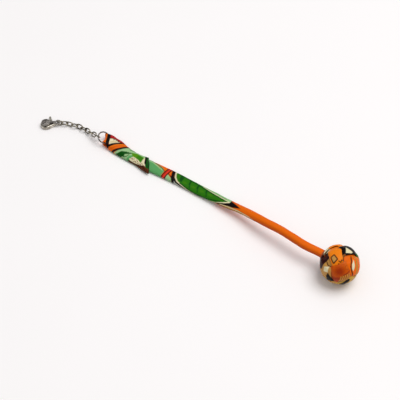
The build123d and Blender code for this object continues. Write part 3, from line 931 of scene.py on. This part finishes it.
def build_ball():
    """Four silk bands woven over and under each other round the bead."""
    turn_step = 1.5
    turns = np.arange(0, 360, turn_step)
    columns = 41
    share = np.linspace(-1, 1, columns)
    for number, (axis, crossings) in enumerate(bands):
        normal = weave_vector(axis)
        origin = weave_vector(crossings[0])
        along = normal.cross(origin)
        crossing_turns = []
        for crossing in crossings:
            spot = weave_vector(crossing)
            crossing_turns.append(degrees(atan2(spot.dot(along), spot.dot(origin))) % 360)
        narrowing = [
            (turn, *drawn_tight[crossing]) for crossing, turn in zip(crossings, crossing_turns)
            if crossing in drawn_tight
        ]
        points = []
        cloth = []
        for turn in turns:
            dive = over_shape(turn)
            direction = origin * cos(radians(turn)) + along * sin(radians(turn))
            rear = band_half_width(turn, -1, narrowing)
            front = band_half_width(turn, 1, narrowing)
            for face_side in (1, -1):
                for across in share[::face_side]:
                    width = across * (front if across > 0 else rear)
                    spot = direction * cos(radians(width)) + normal * sin(radians(width))
                    rim = abs(across) ** 6
                    crown = 0.3 * abs(across) ** 3.0
                    pleat = 0.07 * grain((turn * 0.06, width * 0.9, number * 9.0), 2.2, 1.0)
                    slack = 0.16 * grain(spot * ball_radius, 3.6, number + 2.0)
                    bunch = 0.12 * dive * grain((width * 0.5, turn * 0.2, 1.0), 1.5, 4.0)
                    middle_radius = ball_radius - band_thickness / 2 - band_dive * dive - crown
                    middle_radius += pleat + slack + bunch + band_rise
                    thickness = band_thickness / 2 * sqrt(max(1 - rim, 0.0))
                    point = ball_center + spot * (middle_radius + face_side * thickness)
                    point.z = max(point.z, 0.04)
                    points.append(point)
                    cloth.append((turn, width))
        cloth = np.array(cloth)
        colours = np.zeros((len(cloth), 3))
        for crossing, middle_turn in zip(crossings, crossing_turns):
            offset = (cloth[:, 0] - middle_turn + 180) % 360 - 180
            nearby = np.abs(offset) <= 60
            dye_and_shade = DyeAndShade(np.stack([offset[nearby], cloth[nearby, 1]], axis=1), ORANGE, 1.4)
            band_colour(dye_and_shade, crossing)
            colours[nearby] = dye_and_shade.colours
        ring_size = 2 * columns
        faces = [tuple(reversed(face)) for face in ring_faces(len(turns), ring_size, closed=True)]
        band = new_piece(f"woven_band_{number + 1}", points, faces, ball_silk, "strap")
        degree_length = radians(1) * ball_radius
        add_cloth_data(band, colours, cloth * degree_length)
        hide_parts(f"ball_band_{number + 1}")


# ---- Metal -----------------------------------------------------------------------------------


def finish_metal():
    """Gives each metal node, and the hidden ones, its own material."""
    finishes = {
        "end_ring": ring_metal,
        "clasp_ring": chain_metal,
        "clasp_body": clasp_metal,
        "clasp_lever": clasp_metal,
        "clasp_pin": ring_metal,
        "clasp_spring": spring_metal,
        "tag": tag_metal,
        "ball_bead": wood_material(),
        "strap_filler": wadding_material(),
    }
    finishes["anchor_cord"] = finishes["strap_filler"]
    for name, node in nodes.items():
        if name.startswith("chain_link"):
            finishes[name] = chain_metal
        if name in finishes:
            node.data.materials.clear()
            node.data.materials.append(finishes[name])


def build_tag_grains():
    """Granulation in the tag's recess: rows of small domes."""
    hinge = Vector(joints["tag_swing"]["pos_m"]) / MM
    normal = Vector(joints["tag_swing"]["axis"]).normalized()
    points = [vertex.co / MM for vertex in nodes["tag"].data.vertices]
    middle = sum(points, Vector()) / len(points)
    along = middle - hinge
    along = (along - normal * along.dot(normal)).normalized()
    side = normal.cross(along)
    reach = max((point - hinge).dot(along) for point in points)
    disc_radius = max(abs((point - hinge).dot(side)) for point in points)
    centre = hinge + along * (reach - disc_radius)
    top = max((point - hinge).dot(normal) for point in points)
    recess_depth = 0.16
    rim_width = 0.65
    bed = centre + normal * (top - recess_depth)
    bed_radius = disc_radius - rim_width
    pitch = 0.52
    dome_radius = 0.27
    shapes = []
    rows = range(-6, 7)
    for row in rows:
        for column in rows:
            u = (column + 0.5 * (row % 2)) * pitch
            v = row * pitch * sqrt(3) / 2
            if u * u + v * v > bed_radius**2:
                continue
            spot = bed + along * u + side * v
            size = dome_radius * (1 + 0.18 * grain(spot, 0.4, 5.0))
            dome_points = []
            rings = 5
            ring_size = 12
            for ring in range(rings):
                lift = ring / rings * pi / 2
                for step in range(ring_size):
                    turn = step / ring_size * 2 * pi
                    dome_points.append(
                        spot + (along * cos(turn) + side * sin(turn)) * size * cos(lift)
                        + normal * size * 0.75 * sin(lift)
                    )
            dome_points.append(spot + normal * size * 0.75)
            dome_faces = ring_faces(rings, ring_size)
            tip = rings * ring_size
            for step in range(ring_size):
                beside = (step + 1) % ring_size
                dome_faces.append((tip - ring_size + step, tip - ring_size + beside, tip))
            dome_faces.append(tuple(reversed(range(ring_size))))
            shapes.append((dome_points, dome_faces))
    grains = new_piece("tag_grains", *join_shapes(shapes), tag_metal, "tag")


# ---- Studio ----------------------------------------------------------------------------------


def build_floor():
    """A plain pale floor."""
    shader = Shader("floor", Roughness=0.9)
    shader.principled.inputs["Specular IOR Level"].default_value = 0.1
    tint = shader.noise(8, 2.0)
    colour = shader.ramp(tint, (0.3, srgb(252, 248, 247)), (0.7, srgb(253, 249, 248)))
    shader.link(colour, shader.principled.inputs["Base Color"])
    half = 3.0
    mesh = bpy.data.meshes.new("floor")
    corners = [(-half, -half, 0), (half, -half, 0), (half, half, 0), (-half, half, 0)]
    mesh.from_pydata(corners, [], [(0, 1, 2, 3)])
    mesh.materials.append(shader.material)
    floor = bpy.data.objects.new("floor", mesh)
    bpy.context.scene.collection.objects.link(floor)


def area_light(name, place, aim, size, power):
    """A round lamp aimed at a point."""
    light = bpy.data.lights.new(name, "AREA")
    light.shape = "DISK"
    light.size = size
    light.energy = power
    lamp = bpy.data.objects.new(name, light)
    lamp.location = place
    lamp.rotation_euler = (Vector(aim) - Vector(place)).to_track_quat("-Z", "Y").to_euler()
    bpy.context.scene.collection.objects.link(lamp)


def build_studio():
    """Soft light from the rear and above, and an even pale surround."""
    scene = bpy.context.scene
    world = bpy.data.worlds.new("studio")
    world.use_nodes = True
    tree = world.node_tree
    background = tree.nodes["Background"]
    background.inputs["Strength"].default_value = 0.635
    # The walls are darker than the ceiling, which gives the metal its contrast
    direction = tree.nodes.new("ShaderNodeTexCoord").outputs["Generated"]
    parts = tree.nodes.new("ShaderNodeSeparateXYZ")
    walls = tree.nodes.new("ShaderNodeValToRGB")
    walls.color_ramp.elements[0].position = 0.05
    walls.color_ramp.elements[0].color = (0.10, 0.10, 0.10, 1)
    walls.color_ramp.elements[1].position = 0.75
    walls.color_ramp.elements[1].color = (0.965, 0.985, 1.0, 1)
    tree.links.new(direction, parts.inputs["Vector"])
    tree.links.new(parts.outputs["Z"], walls.inputs["Fac"])
    tree.links.new(walls.outputs["Color"], background.inputs["Color"])
    scene.world = world
    scene.view_settings.view_transform = "Standard"
    area_light("key", (0.52, 0.40, 1.9), (0, 0, 0), 1.5, 24.0)


def build_camera():
    """Camera at the work's viewing angle, framed on the object's box."""
    azimuth = radians(36.43)
    elevation = radians(52.0)
    distance = 0.695
    low, high = cad_box
    target = (Vector(low) + Vector(high)) / 2
    target.z = 0.0
    target.x += 0.0052
    right = Vector((cos(azimuth), sin(azimuth), 0))
    back = Vector((sin(azimuth) * cos(elevation), -cos(azimuth) * cos(elevation), sin(elevation)))
    up = back.cross(right)
    camera = bpy.data.cameras.new("camera")
    camera.lens = 100
    camera.sensor_width = 36
    camera.dof.use_dof = False
    eye = bpy.data.objects.new("camera", camera)
    turned = Matrix((right, up, back)).transposed().to_4x4()
    eye.matrix_world = Matrix.Translation(target + back * distance) @ turned
    bpy.context.scene.collection.objects.link(eye)
    bpy.context.scene.camera = eye


build_strap()
build_fold_over()
build_stitches()
build_whipping()
build_ball()
finish_metal()
build_tag_grains()
build_floor()
build_studio()
build_camera()

bpy.context.view_layer.update()
